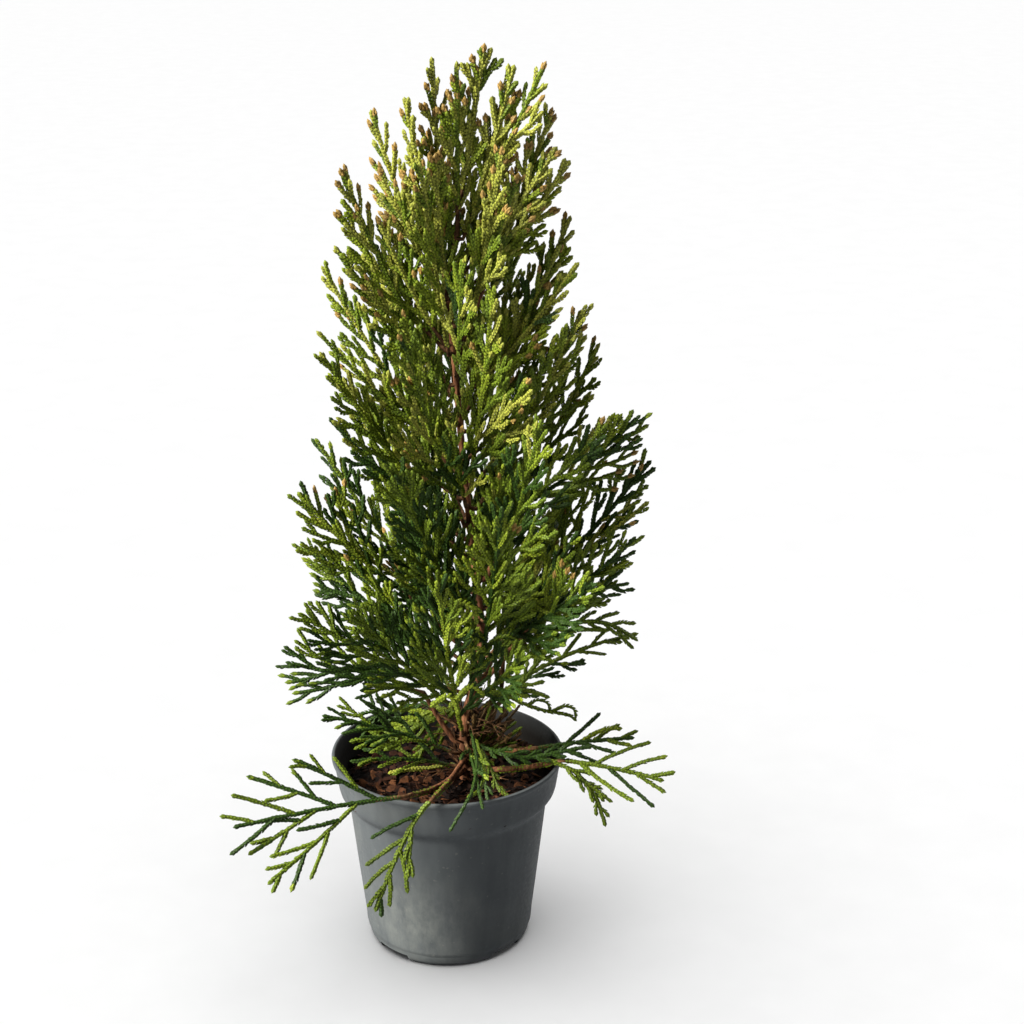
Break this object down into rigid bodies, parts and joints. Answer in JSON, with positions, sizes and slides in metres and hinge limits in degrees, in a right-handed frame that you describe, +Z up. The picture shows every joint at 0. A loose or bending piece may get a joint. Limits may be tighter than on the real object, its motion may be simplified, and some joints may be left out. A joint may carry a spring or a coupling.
{
  "type": "potted thuja",
  "caption": "young conical evergreen with flat scale-leaved sprays round a thin trunk, in a round nursery pot with a collar and a notched foot",
  "frame": {"origin": "middle of the pot's flat underside, on the surface it stands on", "axes": "+Z up along the pot's axis and the trunk, the plant's front looks along -Y, +X to its right as seen from the front"},
  "size_m": [0.1664, 0.1305, 0.3485],
  "materials": {
    "pot": "satin",
    "soil": "rough",
    "bark": "rough",
    "foliage": "matte",
    "foliage_olive": "matte"
  },
  "bodies": {
    "root": {"pot": "pot", "soil": "soil", "trunk": "bark", "bough_fork": "bark", "bough_right_high": "bark", "bough_right_mid": "bark", "bough_left_mid": "bark", "bough_left_low": "bark", "bough_rim_right": "bark", "bough_rim_far_right": "bark", "bough_rim_left": "bark", "bough_rim_front": "bark", "foliage_leader": "foliage_olive", "foliage_top_right": "foliage_olive", "foliage_top_middle": "foliage_olive", "foliage_top_left": "foliage_olive", "foliage_left_01": "foliage_olive", "foliage_left_02": "foliage", "foliage_left_03": "foliage", "foliage_left_04": "foliage", "foliage_left_05": "foliage", "foliage_left_06": "foliage", "foliage_left_07": "foliage", "foliage_left_08": "foliage", "foliage_left_09": "foliage", "foliage_left_10": "foliage", "foliage_right_01": "foliage_olive", "foliage_right_02": "foliage", "foliage_right_03": "foliage", "foliage_right_04": "foliage", "foliage_right_05": "foliage", "foliage_right_06": "foliage", "foliage_right_07": "foliage", "foliage_right_08": "foliage", "foliage_right_09": "foliage", "foliage_front_01": "foliage_olive", "foliage_front_02": "foliage", "foliage_front_03": "foliage", "foliage_front_04": "foliage", "foliage_front_05": "foliage", "foliage_front_06": "foliage", "foliage_front_07": "foliage", "foliage_front_08": "foliage", "foliage_front_09": "foliage", "foliage_front_10": "foliage", "foliage_front_11": "foliage", "foliage_back_01": "foliage_olive", "foliage_back_02": "foliage", "foliage_back_03": "foliage", "foliage_back_04": "foliage", "foliage_back_05": "foliage", "foliage_back_06": "foliage", "foliage_back_07": "foliage", "foliage_back_08": "foliage", "foliage_pot_left": "foliage", "foliage_pot_front": "foliage", "foliage_rim_left": "foliage", "foliage_rim_front": "foliage", "foliage_rim_right": "foliage", "foliage_rim_far_right": "foliage"}
  },
  "joints": []
}
